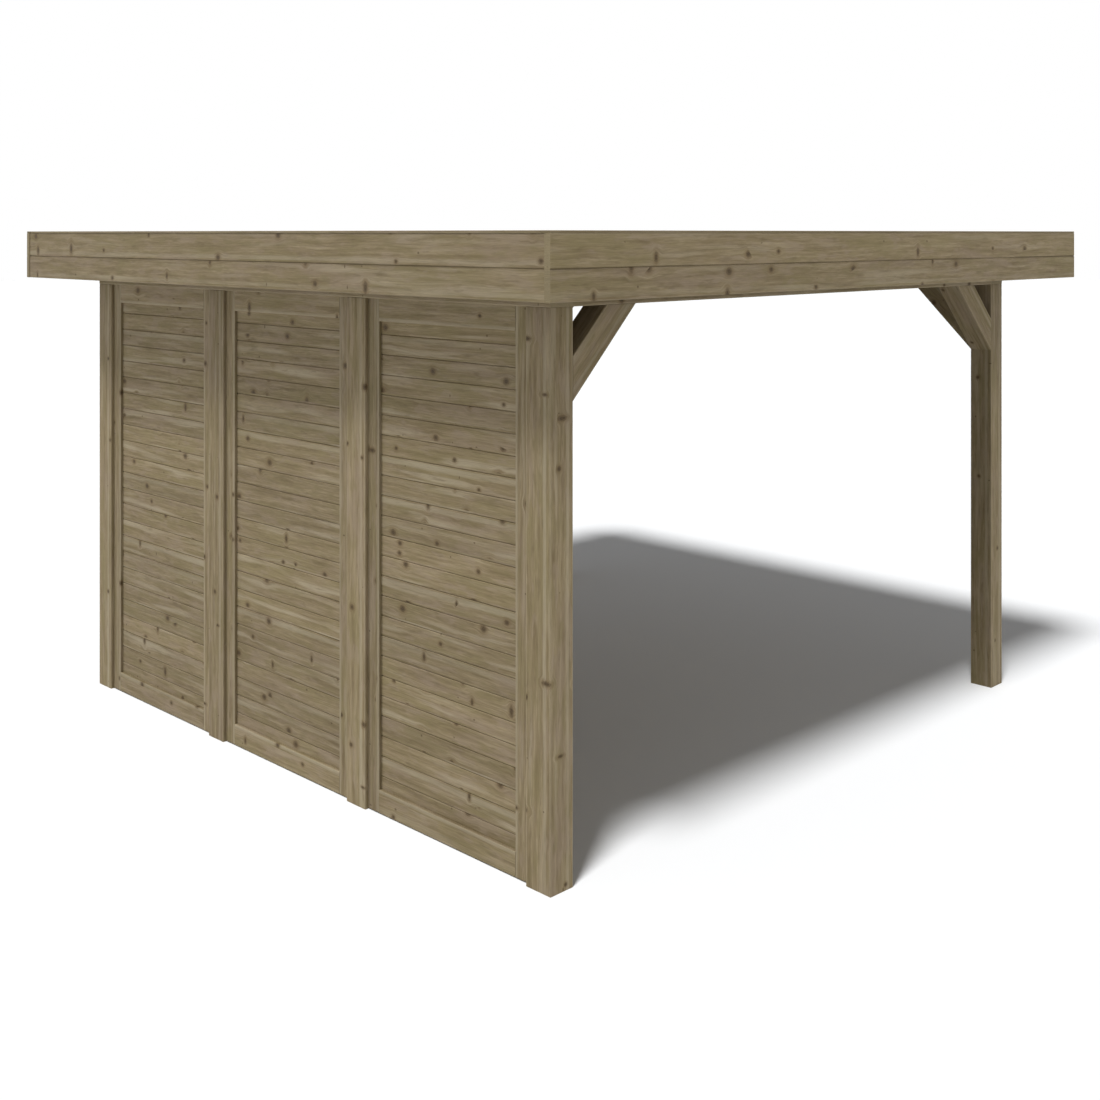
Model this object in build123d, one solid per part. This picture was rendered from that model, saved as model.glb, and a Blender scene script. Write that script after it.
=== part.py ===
from build123d import *
import math
import os

os.makedirs("parts", exist_ok=True)

# Square garden pergola: flat roof on posts, one side closed by three boarded panels,
# three sides open with knee braces. Millimetres, z up from the ground.
# x runs from the boarded side (left) to the open side opposite (right),
# y from the front to the back, and the plan is centred on the origin.

# Plan and heights
frame_size = 3180.0       # over the outer faces of the corner posts, both ways
section = 110.0           # square stock of the open posts, beams and braces
wall_post_width = 120.0   # the posts along the boarded side, measured along the wall
post_height = 1990.0
overhang = 255.0          # outer face of the fascia beyond the posts
bays = 3                  # panels along the boarded side
arris = 3.0               # planed-off long edges of the heavy timber

# Roof build-up
joist_width = 45.0
joist_depth = 95.0
joist_spaces = 7
lookouts_a_side = 5
deck_thickness = 19.0
deck_cover = 121.0        # visible width of one deck board
membrane_thickness = 2.0
fascia_thickness = 27.0
side_set_in = 3.0         # side fascia kept back from the ends of the front and back boards
fascia_drop = 77.0        # fascia's lower edge below the underside of the joists
fascia_lower_face = 106.0
fascia_upper_face = 113.0
trim_thickness = 9.0
trim_width = 45.0

# Tongue and groove between the fascia boards
tongue_height = 8.0
tongue_thickness = 8.0
tongue_play = 0.4
groove_vee = 3.0          # bevel each side of a board joint
fascia_arris = 2.0

# Boarded panels
panel_thickness = 45.0
panel_recess = 15.0       # panel's outer face behind the posts' outer faces
panel_ground_gap = 5.0
stile_width = 68.0
rail_width = 88.0
board_cover = 77.6
board_thickness = 18.0
board_recess = 12.0       # boards behind the panel frame's outer face
groove_depth = 20.0       # groove in the stiles for boards and rail tenons
groove_play = 2.0
panel_arris = 2.0

# Knee braces at 45 degrees
brace_foot = 1665.0       # lower edge of a brace where it meets the post

# Sizes that follow
half = frame_size / 2
roof_half = half + overhang
beam_top = post_height + section
joist_top = beam_top + joist_depth
deck_top = joist_top + deck_thickness
fascia_bottom = beam_top - fascia_drop
fascia_joint = fascia_bottom + fascia_lower_face
fascia_top = fascia_joint + fascia_upper_face
side_face = roof_half - side_set_in
inside_x = side_face - fascia_thickness
inside_y = roof_half - fascia_thickness
pitch = (frame_size - wall_post_width) / bays
bay_width = pitch - wall_post_width


def save(shape, name):
    export_step(shape, f"parts/{name}.step")


def block(x0, x1, y0, y1, z0, z1):
    size = (x1 - x0, y1 - y0, z1 - z0)
    middle = ((x0 + x1) / 2, (y0 + y1) / 2, (z0 + z1) / 2)
    return Pos(*middle) * Box(*size)


def eased(solid, along, bevel):
    # Takes the sharp corner off every edge that runs the length of the timber.
    return chamfer(solid.edges().filter_by(along), bevel)


def prism_z(points, z0, z1):
    face = make_face(Polyline(*points, close=True))
    return Pos(0, 0, z0) * extrude(face, z1 - z0)


def prism_x(points, x0, x1):
    # points are (y, z) pairs
    outline = [Vector(x0, y, z) for y, z in points]
    return extrude(make_face(Polyline(*outline, close=True)), x1 - x0, dir=(1, 0, 0))


def prism_y(points, y0, y1):
    # points are (x, z) pairs
    outline = [Vector(x, y0, z) for x, z in points]
    return extrude(make_face(Polyline(*outline, close=True)), y1 - y0, dir=(0, 1, 0))


# Posts
def post(x0, y0, width):
    return eased(block(x0, x0 + section, y0, y0 + width, 0, post_height), Axis.Z, arris)


wall_y = [-half + k * pitch for k in range(bays + 1)]
save(post(-half, wall_y[0], wall_post_width), "post_front_left")
save(post(-half, wall_y[1], wall_post_width), "post_wall_front")
save(post(-half, wall_y[2], wall_post_width), "post_wall_back")
save(post(-half, wall_y[3], wall_post_width), "post_back_left")
save(post(half - section, -half, section), "post_front_right")
save(post(half - section, half - section, section), "post_back_right")


# Ring of beams on the posts, half-lapped over the corner posts
def side_beam(x0):
    beam = eased(block(x0, x0 + section, -half, half, post_height, beam_top), Axis.Y, arris)
    for y0 in (-half, half - section):
        beam -= block(x0, x0 + section, y0, y0 + section, post_height + section / 2, beam_top)
    return beam


def end_beam(y0):
    beam = eased(block(-half, half, y0, y0 + section, post_height, beam_top), Axis.X, arris)
    for x0 in (-half, half - section):
        beam -= block(x0, x0 + section, y0, y0 + section, post_height, post_height + section / 2)
    return beam


save(side_beam(-half), "beam_left")
save(side_beam(half - section), "beam_right")
save(end_beam(-half), "beam_front")
save(end_beam(half - section), "beam_back")


# Roof joists across the boarded side's direction, with rim joists behind the fascia
joist_step = (2 * inside_y - joist_width) / joist_spaces


def joist(y0):
    return block(-inside_x, inside_x, y0, y0 + joist_width, beam_top, joist_top)


save(joist(-inside_y), "joist_rim_front")
save(joist(inside_y - joist_width), "joist_rim_back")
inner = [joist(-inside_y + k * joist_step) for k in range(1, joist_spaces)]
save(Compound(children=inner), "joists")


# Lookouts from the first joist over the end beam to the rim joist
def lookouts(y0, y1):
    step = 2 * half / (lookouts_a_side + 1)
    pieces = []
    for k in range(lookouts_a_side):
        x = -half + (k + 1) * step
        pieces.append(block(x - joist_width / 2, x + joist_width / 2, y0, y1, beam_top, joist_top))
    return Compound(children=pieces)


rim_inside = inside_y - joist_width
first_joist = inside_y - joist_step
save(lookouts(-rim_inside, -first_joist), "lookouts_front")
save(lookouts(first_joist, rim_inside), "lookouts_back")


# Roof deck of boards laid across the joists, bevelled joints on the underside
def deck():
    boards = round(2 * inside_x / deck_cover)
    width = 2 * inside_x / boards
    points = [(-inside_x, deck_top), (-inside_x, joist_top)]
    for k in range(1, boards):
        x = -inside_x + k * width
        points.append((x - groove_vee, joist_top))
        points.append((x, joist_top + groove_vee))
        points.append((x + groove_vee, joist_top))
    points.append((inside_x, joist_top))
    points.append((inside_x, deck_top))
    return prism_y(points, -inside_y, inside_y)


save(deck(), "roof_deck")
save(
    block(-inside_x, inside_x, -inside_y, inside_y, deck_top, deck_top + membrane_thickness),
    "roof_membrane",
)


# Fascia of two boards, tongue and groove, drawn for the front and turned to each side
def fascia_lower(length, face):
    z0, z1 = fascia_bottom, fascia_joint
    back = face + fascia_thickness
    centre = face + fascia_thickness / 2
    t = tongue_thickness / 2
    points = [
        (face + fascia_arris, z0),
        (face, z0 + fascia_arris),
        (face, z1 - groove_vee),
        (face + groove_vee, z1),
        (centre - t, z1),
        (centre - t, z1 + tongue_height),
        (centre + t, z1 + tongue_height),
        (centre + t, z1),
        (back, z1),
        (back, z0),
    ]
    return prism_x(points, -length / 2, length / 2)


def fascia_upper(length, face):
    z0, z1 = fascia_joint, fascia_top
    back = face + fascia_thickness
    centre = face + fascia_thickness / 2
    t = (tongue_thickness + tongue_play) / 2
    slot = tongue_height + tongue_play
    points = [
        (face + groove_vee, z0),
        (face, z0 + groove_vee),
        (face, z1 - fascia_arris),
        (face + fascia_arris, z1),
        (back, z1),
        (back, z0),
        (centre + t, z0),
        (centre + t, z0 + slot),
        (centre - t, z0 + slot),
        (centre - t, z0),
    ]
    return prism_x(points, -length / 2, length / 2)


# The front and back boards cover the ends of the side boards.
fascia_sides = (
    ("front", 0, 2 * roof_half, -roof_half),
    ("right", 90, 2 * inside_y, -side_face),
    ("back", 180, 2 * roof_half, -roof_half),
    ("left", -90, 2 * inside_y, -side_face),
)
for side, turn, length, face in fascia_sides:
    save(Rot(0, 0, turn) * fascia_lower(length, face), f"fascia_{side}_lower")
    save(Rot(0, 0, turn) * fascia_upper(length, face), f"fascia_{side}_upper")


# Thin trim lying on the fascia's top edge, a little proud of the side boards
def trim(x0, x1, y0, y1):
    return block(x0, x1, y0, y1, fascia_top, fascia_top + trim_thickness)


trim_inside = roof_half - trim_width
save(trim(-roof_half, roof_half, -roof_half, -trim_inside), "trim_front")
save(trim(-roof_half, roof_half, trim_inside, roof_half), "trim_back")
save(trim(-roof_half, -trim_inside, -trim_inside, trim_inside), "trim_left")
save(trim(trim_inside, roof_half, -trim_inside, trim_inside), "trim_right")


# Boarded panels between the wall posts
panel_x0 = -half + panel_recess
panel_x1 = panel_x0 + panel_thickness
board_x0 = panel_x0 + board_recess
board_x1 = board_x0 + board_thickness
opening_z0 = panel_ground_gap + rail_width
opening_z1 = post_height - rail_width
board_count = int((opening_z1 - opening_z0) // board_cover) + 1
engaged = (board_count * board_cover - (opening_z1 - opening_z0)) / 2
rail_groove = engaged + groove_play


def stile(y_outer, y_inner):
    # Upright with its groove on the edge at y_inner.
    toward = math.copysign(1, y_inner - y_outer)
    y_groove = y_inner - toward * groove_depth
    bevel = panel_arris
    points = [
        (panel_x0, y_outer),
        (panel_x1, y_outer),
        (panel_x1, y_inner - toward * bevel),
        (panel_x1 - bevel, y_inner),
        (board_x1, y_inner),
        (board_x1, y_groove),
        (board_x0, y_groove),
        (board_x0, y_inner),
        (panel_x0 + bevel, y_inner),
        (panel_x0, y_inner - toward * bevel),
    ]
    return prism_z(points, panel_ground_gap, post_height)


def rail(y0, y1, z_outer, z_inner):
    # Crosspiece with its groove on the edge at z_inner and a stub tenon at each end.
    toward = math.copysign(1, z_inner - z_outer)
    z_groove = z_inner - toward * rail_groove
    bevel = panel_arris
    points = [
        (panel_x0, z_outer),
        (panel_x1, z_outer),
        (panel_x1, z_inner - toward * bevel),
        (panel_x1 - bevel, z_inner),
        (board_x1, z_inner),
        (board_x1, z_groove),
        (board_x0, z_groove),
        (board_x0, z_inner),
        (panel_x0 + bevel, z_inner),
        (panel_x0, z_inner - toward * bevel),
    ]
    body = prism_y(points, y0, y1)
    low, high = sorted((z_outer, z_groove))
    return body + block(board_x0, board_x1, y0 - groove_depth, y1 + groove_depth, low, high)


def boards(y0, y1):
    # The stacked boards as one sheet, with a vee on both faces at every joint.
    bottom = opening_z0 - engaged
    top = opening_z1 + engaged
    joints = [bottom + k * board_cover for k in range(1, board_count)]
    outer = []
    inner = []
    for z in joints:
        outer += [(board_x0, z - groove_vee), (board_x0 + groove_vee, z), (board_x0, z + groove_vee)]
        inner += [(board_x1, z - groove_vee), (board_x1 - groove_vee, z), (board_x1, z + groove_vee)]
    points = [(board_x0, bottom)] + outer + [(board_x0, top), (board_x1, top)]
    points += inner[::-1] + [(board_x1, bottom)]
    return prism_y(points, y0, y1)


board_end = groove_depth - groove_play
for k, place in enumerate(("front", "middle", "back")):
    y0 = wall_y[k] + wall_post_width
    y1 = y0 + bay_width
    inner0 = y0 + stile_width
    inner1 = y1 - stile_width
    stiles = [stile(y0, inner0), stile(y1, inner1)]
    rails = [
        rail(inner0, inner1, panel_ground_gap, opening_z0),
        rail(inner0, inner1, post_height, opening_z1),
    ]
    save(Compound(children=stiles), f"panel_{place}_stiles")
    save(Compound(children=rails), f"panel_{place}_rails")
    save(boards(inner0 - board_end, inner1 + board_end), f"panel_{place}_boards")


# Knee braces, cut flush against the post and the beam's underside
brace_rise = section * math.sqrt(2)
reach = post_height - brace_foot
brace_outline = [
    (0, brace_foot),
    (0, brace_foot + brace_rise),
    (reach - brace_rise, post_height),
    (reach, post_height),
]


def brace_along_x(face, toward, y0):
    points = [(face + toward * s, z) for s, z in brace_outline]
    solid = prism_y(points, y0, y0 + section)
    return solid


def brace_along_y(face, toward, x0):
    points = [(face + toward * s, z) for s, z in brace_outline]
    return prism_x(points, x0, x0 + section)


inner_face = half - section
save(brace_along_x(-inner_face, 1, -half), "brace_front_left")
save(brace_along_x(inner_face, -1, -half), "brace_front_right")
save(brace_along_y(-inner_face, 1, inner_face), "brace_right_front")
save(brace_along_y(inner_face, -1, inner_face), "brace_right_back")
save(brace_along_x(inner_face, -1, inner_face), "brace_back_right")
save(brace_along_x(-inner_face, 1, inner_face), "brace_back_left")
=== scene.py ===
import bpy
import math
import numpy as np
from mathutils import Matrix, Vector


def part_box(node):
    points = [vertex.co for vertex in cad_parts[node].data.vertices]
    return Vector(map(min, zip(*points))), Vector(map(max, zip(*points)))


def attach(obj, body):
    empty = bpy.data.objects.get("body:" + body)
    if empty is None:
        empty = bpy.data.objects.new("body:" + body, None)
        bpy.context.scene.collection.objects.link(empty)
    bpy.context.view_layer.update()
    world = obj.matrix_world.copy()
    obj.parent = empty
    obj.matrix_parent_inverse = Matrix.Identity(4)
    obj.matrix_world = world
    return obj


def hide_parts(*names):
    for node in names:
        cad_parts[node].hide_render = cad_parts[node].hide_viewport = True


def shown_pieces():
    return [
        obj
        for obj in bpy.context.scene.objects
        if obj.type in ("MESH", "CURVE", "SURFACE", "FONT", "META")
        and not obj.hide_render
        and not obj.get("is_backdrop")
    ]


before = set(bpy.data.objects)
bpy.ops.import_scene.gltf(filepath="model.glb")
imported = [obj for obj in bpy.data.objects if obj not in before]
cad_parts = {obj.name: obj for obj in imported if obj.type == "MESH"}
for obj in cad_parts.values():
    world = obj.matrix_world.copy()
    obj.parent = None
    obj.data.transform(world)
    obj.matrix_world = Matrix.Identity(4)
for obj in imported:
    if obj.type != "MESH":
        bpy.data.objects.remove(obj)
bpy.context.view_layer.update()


# Posts
# Six uprights of planed, pressure-treated pine: four of 120 x 110 mm along the boarded side,
# two of 110 x 110 mm at the open corners. Long edges are eased, feet and heads are sawn square.
POST_EASE = 0.003
END_EASE = 0.002
ARC_POINTS = 4
WEAR_REACH = 0.006
SHARP_ANGLE = 35.0
# The pale band on a flat: where it lies, from 0 to 1 across the flat, and how strong it is there.
SAP_SPOTS = np.array([[0.67, 0.0], [0.77, 1.0], [0.86, 1.0], [0.94, 0.0]])
# A timber takes its grain from a random place in a pattern this many metres long.
GRAIN_REACH = 6.0
chance = np.random.default_rng(20)


def eased_ring(a0, a1, b0, b1, ease, inset=0.0, sap=0.0):
    """Section of a planed timber: a rectangle with a quarter circle of radius ease at each corner,
    all of it drawn in by inset. Rows are (a, b, wear, sap), anticlockwise: wear is 1 on the arris
    and 0 on the flats, from WEAR_REACH away, and sap marks a pale band down each flat."""
    turn = np.linspace(0.0, np.pi / 2, ARC_POINTS)
    reach = min(WEAR_REACH, 0.3 * (a1 - a0), 0.3 * (b1 - b0))
    a0, a1 = a0 + inset + ease, a1 - inset - ease
    b0, b1 = b0 + inset + ease, b1 - inset - ease
    local = np.concatenate([
        [[ease, -reach, 0.0, 0.0]],
        np.stack([np.cos(turn) * ease, np.sin(turn) * ease, turn * 0 + 1, turn * 0], 1),
        [[-reach, ease, 0.0, 0.0]],
    ])
    corners = []
    for k, (a, b) in enumerate(((a1, b1), (a0, b1), (a0, b0), (a1, b0))):
        cosine, sine = math.cos(k * math.pi / 2), math.sin(k * math.pi / 2)
        spin = np.eye(4)
        spin[:2, :2] = [[cosine, sine], [-sine, cosine]]
        corners.append(local @ spin + [a, b, 0.0, 0.0])
    if not sap:
        return np.concatenate(corners)
    rows = []
    for k in range(4):
        start, stop = corners[k][-1], corners[(k + 1) % 4][0]
        flat = start + SAP_SPOTS[:, :1] * (stop - start)
        flat[:, 3] = SAP_SPOTS[:, 1] * sap
        rows += [corners[k], flat]
    return np.concatenate(rows)


def carry(rings, stations, origin, along, across):
    """One timber as a closed skin: section ring i is set at distance stations[i] along the grain,
    point = origin + station * along + a * across + b * (along x across). Each face corner keeps
    its place on the timber: (distance along, distance round the section), and on the two sawn
    ends the section's own (a, b). Random shifts give every timber its own stretch of pine."""
    rings = np.asarray(rings, float)
    if rings.ndim == 2:
        rings = np.broadcast_to(rings, (len(stations),) + rings.shape)
    count, points = rings.shape[:2]
    stations = np.asarray(stations, float)
    if stations.ndim == 1:
        stations = np.repeat(stations[:, None], points, 1)
    along, across = np.asarray(along, float), np.asarray(across, float)
    third = np.cross(along, across)
    place = (np.asarray(origin, float) + stations[..., None] * along
             + rings[..., 0:1] * across + rings[..., 1:2] * third)
    full = rings[count // 2]
    girth = np.linalg.norm(np.roll(full, -1, 0)[:, :2] - full[:, :2], axis=1)
    girth = np.concatenate([[0.0], np.cumsum(girth)])
    i, j = np.meshgrid(np.arange(count - 1), np.arange(points), indexing="ij")
    i, j = i.ravel(), j.ravel()
    k = (j + 1) % points
    quads = np.stack([i * points + j, i * points + k, (i + 1) * points + k, (i + 1) * points + j], 1)
    shift = chance.uniform(0.0, GRAIN_REACH, 3)
    grain = np.stack([
        np.stack([stations[i, j], stations[i, k], stations[i + 1, k], stations[i + 1, j]], 1),
        np.stack([girth[j], girth[j + 1], girth[j + 1], girth[j]], 1),
        np.zeros((len(i), 4)),
    ], 2).reshape(-1, 3)
    cut = np.concatenate([rings[0, ::-1], rings[-1]])[:, :2]
    cut = np.column_stack([cut, np.full(len(cut), shift[2])])
    ring = np.arange(points)
    return {
        "place": place.reshape(-1, 3),
        "wear": rings[..., 2].ravel(),
        "sap": rings[..., 3].ravel(),
        "quads": quads,
        "ends": np.concatenate([ring[::-1], ring + (count - 1) * points]),
        "grain": np.concatenate([grain + shift, cut]),
        "points": points,
        "tone": chance.uniform(0.0, 1.0),
    }


def build_timbers(name, timbers):
    """Joins timbers into one mesh at its place, with the corner attribute grain_place, the vertex
    attributes arris_wear_and_joint_shade and sapwood and the face attributes timber_tone and sawn_end."""
    corners, starts, tones, ends = [], [], [], []
    base = loop = 0
    for timber in timbers:
        faces = len(timber["quads"])
        corners += [timber["quads"].ravel() + base, timber["ends"] + base]
        starts.append(loop + np.concatenate([np.arange(faces + 1) * 4, [faces * 4 + timber["points"]]]))
        tones.append(np.full(faces + 2, timber["tone"]))
        ends.append(np.concatenate([np.zeros(faces), np.ones(2)]))
        base += len(timber["place"])
        loop += faces * 4 + 2 * timber["points"]
    corners, starts = np.concatenate(corners), np.concatenate(starts)
    place = np.concatenate([timber["place"] for timber in timbers])
    mesh = bpy.data.meshes.new(name)
    mesh.vertices.add(len(place))
    mesh.vertices.foreach_set("co", place.ravel())
    mesh.loops.add(len(corners))
    mesh.loops.foreach_set("vertex_index", corners.astype(np.int32))
    mesh.polygons.add(len(starts))
    mesh.polygons.foreach_set("loop_start", starts.astype(np.int32))
    mesh.update(calc_edges=True)
    grain = mesh.attributes.new("grain_place", "FLOAT_VECTOR", "CORNER")
    grain.data.foreach_set("vector", np.concatenate([timber["grain"] for timber in timbers]).ravel())
    for attribute, domain, values in (
            ("arris_wear_and_joint_shade", "POINT", [timber["wear"] for timber in timbers]),
            ("sapwood_and_highlight", "POINT", [timber["sap"] for timber in timbers]),
            ("timber_tone", "FACE", tones), ("sawn_end", "FACE", ends)):
        layer = mesh.attributes.new(attribute, "FLOAT", domain)
        layer.data.foreach_set("value", np.concatenate(values))
    mesh.validate()
    mesh.set_sharp_from_angle(angle=math.radians(SHARP_ANGLE))
    piece = bpy.data.objects.new(name, mesh)
    bpy.context.collection.objects.link(piece)
    return piece


def eased_ends(length, ease):
    """Stations and insets that round a timber's two ends over a quarter circle of radius ease."""
    turn = np.linspace(0.0, np.pi / 2, ARC_POINTS)
    start = ease * (1.0 - np.cos(turn))
    inset = ease * (1.0 - np.sin(turn))
    stations = np.concatenate([start, [WEAR_REACH * 2], length - start[::-1]])
    return stations, np.concatenate([inset, [0.0], inset[::-1]])


def straight_timber(low, high, run, ease, sap=0.0):
    """A planed timber that fills the box low..high, with its grain along axis number run."""
    low, high = np.asarray(low), np.asarray(high)
    along, across = np.eye(3)[run], np.eye(3)[(run + 1) % 3]
    a, b = (run + 1) % 3, (run + 2) % 3
    stations, insets = eased_ends(high[run] - low[run], min(ease, END_EASE))
    rings = np.stack([eased_ring(low[a], high[a], low[b], high[b], ease, inset, sap) for inset in insets])
    return carry(rings, stations, along * low[run], along, across)


def fit_timbers(name, timbers, material, node):
    """Builds timbers as one piece that rides on the frame, and hides the CAD node it takes the place of."""
    piece = build_timbers(name, timbers)
    piece.data.materials.append(material)
    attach(piece, "root")
    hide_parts(node)


def add(tree, kind, sockets=None, **settings):
    """Adds a shader node, sets it up, and fills its sockets with values or other nodes' outputs."""
    made = tree.nodes.new("ShaderNode" + kind)
    for key, value in settings.items():
        setattr(made, key, value)
    for key, value in (sockets or {}).items():
        if isinstance(value, bpy.types.NodeSocket):
            tree.links.new(value, made.inputs[key])
        else:
            made.inputs[key].default_value = value
    return made


def calc(tree, operation, a, b=0.0, c=0.0, clamp=False):
    """One Math node on up to three values."""
    return add(tree, "Math", {0: a, 1: b, 2: c}, operation=operation, use_clamp=clamp).outputs[0]


def hypotenuse(tree, a, b):
    """sqrt(a ^ 2 + b ^ 2)."""
    return calc(tree, "SQRT", calc(tree, "ADD", calc(tree, "POWER", a, 2.0), calc(tree, "POWER", b, 2.0)))


def ease_between(tree, value, low, high, out_low=0.0, out_high=1.0):
    """Smooth step of value, from out_low at low to out_high at high."""
    sockets = {"Value": value, "From Min": low, "From Max": high, "To Min": out_low, "To Max": out_high}
    return add(tree, "MapRange", sockets, interpolation_type="SMOOTHSTEP").outputs["Result"]


def blend_colour(tree, amount, a, b, way="MIX"):
    """Colour a with an amount of colour b laid over it."""
    made = add(tree, "Mix", data_type="RGBA", blend_type=way)
    for socket, value in ((made.inputs[0], amount), (made.inputs[6], a), (made.inputs[7], b)):
        if isinstance(value, bpy.types.NodeSocket):
            tree.links.new(value, socket)
        elif socket.type == "RGBA":
            socket.default_value = (*value, 1.0)
        else:
            socket.default_value = value
    return made.outputs[2]


def stretched_noise(tree, place, along, across, shift, detail, rough=0.5):
    """Noise at a place on the timber: u along the grain, s round the section and k, the timber's
    own stretch. Its blotches are about 1 / along metres long and 1 / across metres wide."""
    u, s, k = place
    vector = add(tree, "CombineXYZ", {
        0: calc(tree, "MULTIPLY", u, along),
        1: calc(tree, "MULTIPLY", s, across),
        2: calc(tree, "MULTIPLY_ADD", k, 3.0, shift),
    }).outputs[0]
    sockets = {"Vector": vector, "Scale": 1.0, "Detail": detail, "Roughness": rough}
    return add(tree, "TexNoise", sockets, noise_dimensions="3D").outputs["Fac"]


# Cells are (length, width) and radii (smallest, largest), in metres.
KNOT_CELL, KNOT_RADII = (0.42, 0.092), (0.0065, 0.0125)
PIN_KNOT_CELL, PIN_KNOT_RADII = (0.30, 0.08), (0.0022, 0.0045)
ASLANT_SHARE = 0.26


def knot_layer(tree, place, draw, cell, radii, share, shift):
    """Knots scattered one to a cell, in a share of the cells, 1 / draw times as long as round ones.
    Returns sqrt((narrow * du) ^ 2 + (long * ds) ^ 2) / radius with a ragged edge, which is the
    distance from the nearest knot in its own radii, then ds and whether the knot is there."""
    u, s, k = place
    vector = add(tree, "CombineXYZ", {
        0: calc(tree, "DIVIDE", u, cell[0]),
        1: calc(tree, "DIVIDE", s, cell[1]),
        2: calc(tree, "MULTIPLY_ADD", k, 5.0, shift),
    }).outputs[0]
    nearest = add(tree, "TexVoronoi", {"Vector": vector, "Scale": 1.0, "Randomness": 0.9},
                  voronoi_dimensions="3D", feature="F1").outputs
    away = add(tree, "VectorMath", {0: vector, 1: nearest["Position"]}, operation="SUBTRACT")
    away = add(tree, "SeparateXYZ", {0: away.outputs[0]}).outputs
    luck = add(tree, "SeparateColor", {0: nearest["Color"]}).outputs
    radius = calc(tree, "MULTIPLY_ADD", luck[0], radii[1] - radii[0], radii[0])
    du = calc(tree, "MULTIPLY", away[0], cell[0])
    ds = calc(tree, "MULTIPLY", away[1], cell[1])
    # Some knots are branches cut aslant, and are drawn out across the grain.
    aslant = calc(tree, "GREATER_THAN", luck[2], 1.0 - ASLANT_SHARE)
    narrow = calc(tree, "MULTIPLY_ADD", aslant, 0.25, draw)
    long = calc(tree, "MULTIPLY_ADD", aslant, -0.40, 0.95)
    reach = hypotenuse(tree, calc(tree, "MULTIPLY", du, narrow), calc(tree, "MULTIPLY", ds, long))
    ragged = calc(tree, "MULTIPLY_ADD", stretched_noise(tree, place, 150.0, 150.0, shift, 1.0), 0.5, -0.25)
    reach = calc(tree, "ADD", calc(tree, "DIVIDE", reach, radius), ragged)
    return reach, ds, calc(tree, "LESS_THAN", luck[1], share)


# Streaks run from dark to pale as their noise rises. The other colours are laid over them.
STREAKS = ((0.31, (0.178, 0.131, 0.066)), (0.45, (0.243, 0.187, 0.102)),
           (0.55, (0.285, 0.223, 0.128)), (0.69, (0.352, 0.284, 0.175)))
OLIVE_CLOUD, ROSY_CLOUD = (0.250, 0.204, 0.098), (0.278, 0.212, 0.146)
OLIVE_PATCH, ROSY_PATCH = (0.218, 0.176, 0.082), (0.308, 0.240, 0.166)
PALE_BAND = (0.415, 0.352, 0.243)
LATE_WOOD = (0.128, 0.090, 0.044)
STAIN = (0.140, 0.100, 0.050)
WORN_EDGE = (0.390, 0.325, 0.215)
# Painted shade in the joints between boards.
JOINT_SHADE = (0.110, 0.080, 0.040)
# Pale sapwood, and the painted highlight beside the inner edges of the panel frames.
SAPWOOD_AND_HIGHLIGHT = (0.405, 0.350, 0.245)
KNOT_HALO = (0.172, 0.112, 0.050)
KNOT_DARK, KNOT_PALE = (0.056, 0.034, 0.012), (0.086, 0.053, 0.020)
KNOT_RIM = (0.050, 0.031, 0.014)
PIN_KNOT = (0.085, 0.054, 0.025)
SAWN_PALE, SAWN_DARK, SAWN_DIRT = (0.300, 0.246, 0.146), (0.236, 0.188, 0.104), (0.200, 0.158, 0.084)
# Colour that darkening multiplies the wood towards; on the front and back trim laths it is painted shade.
DARK_TINT = (0.62, 0.60, 0.54)
# The growth rings of a sawn end are a sine of END_RINGS radians to the metre from the pith, those on
# the flats a noise of FACE_RINGS blotches to the metre across the grain.
PITH = (0.012, -0.018, 0.0)
END_RINGS = 1700.0
FACE_RINGS = 240.0


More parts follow.
